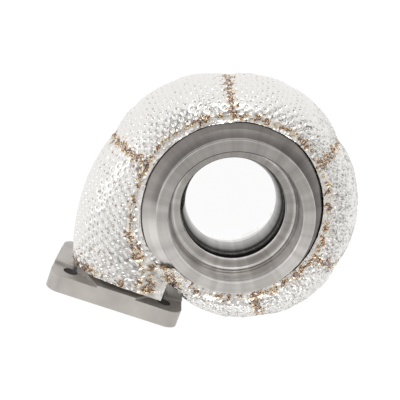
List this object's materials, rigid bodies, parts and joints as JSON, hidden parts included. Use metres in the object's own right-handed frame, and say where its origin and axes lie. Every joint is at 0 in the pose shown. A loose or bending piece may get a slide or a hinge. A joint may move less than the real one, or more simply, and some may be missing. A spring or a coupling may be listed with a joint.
{
  "type": "turbine housing",
  "caption": "Cast turbine housing of a small turbocharger, wrapped in a welded heat blanket of embossed stainless foil gores, with a four-bolt inlet flange and clamp rims on both faces.",
  "frame": {"origin": "centre of the outlet face, on the turbine axis; the part rests on this face", "axes": "+Z is the turbine axis towards the bearing side; +X runs along the long side of the inlet flange; the gas comes in through the inlet flange at -Y, moving along +Y"},
  "size_m": [0.1811, 0.1715, 0.084],
  "materials": {
    "cast_steel": "Blasted cast surface, with turned and milled faces of bare bright metal.",
    "embossed_foil": "Bright stainless foil with pressed rows of small dimples and heat-tinted weld spots.",
    "liner_steel": "Plain thin stainless foil, dulled by heat.",
    "fibre_mat": "Needled off-white silica fibre mat."
  },
  "bodies": {
    "root": {"housing_casting": "cast_steel", "outer_foil_1": "embossed_foil", "fibre_mat_1": "fibre_mat", "liner_foil_1": "liner_steel", "outer_foil_2": "embossed_foil", "fibre_mat_2": "fibre_mat", "liner_foil_2": "liner_steel", "outer_foil_3": "embossed_foil", "fibre_mat_3": "fibre_mat", "liner_foil_3": "liner_steel", "outer_foil_4": "embossed_foil", "fibre_mat_4": "fibre_mat", "liner_foil_4": "liner_steel", "outer_foil_5": "embossed_foil", "fibre_mat_5": "fibre_mat", "liner_foil_5": "liner_steel", "outer_foil_6": "embossed_foil", "fibre_mat_6": "fibre_mat", "liner_foil_6": "liner_steel", "bearing_collar_strip": "embossed_foil", "outlet_collar_plate": "embossed_foil", "inlet_edge_strip": "embossed_foil", "outlet_mat_ring": "fibre_mat"}
  },
  "joints": []
}
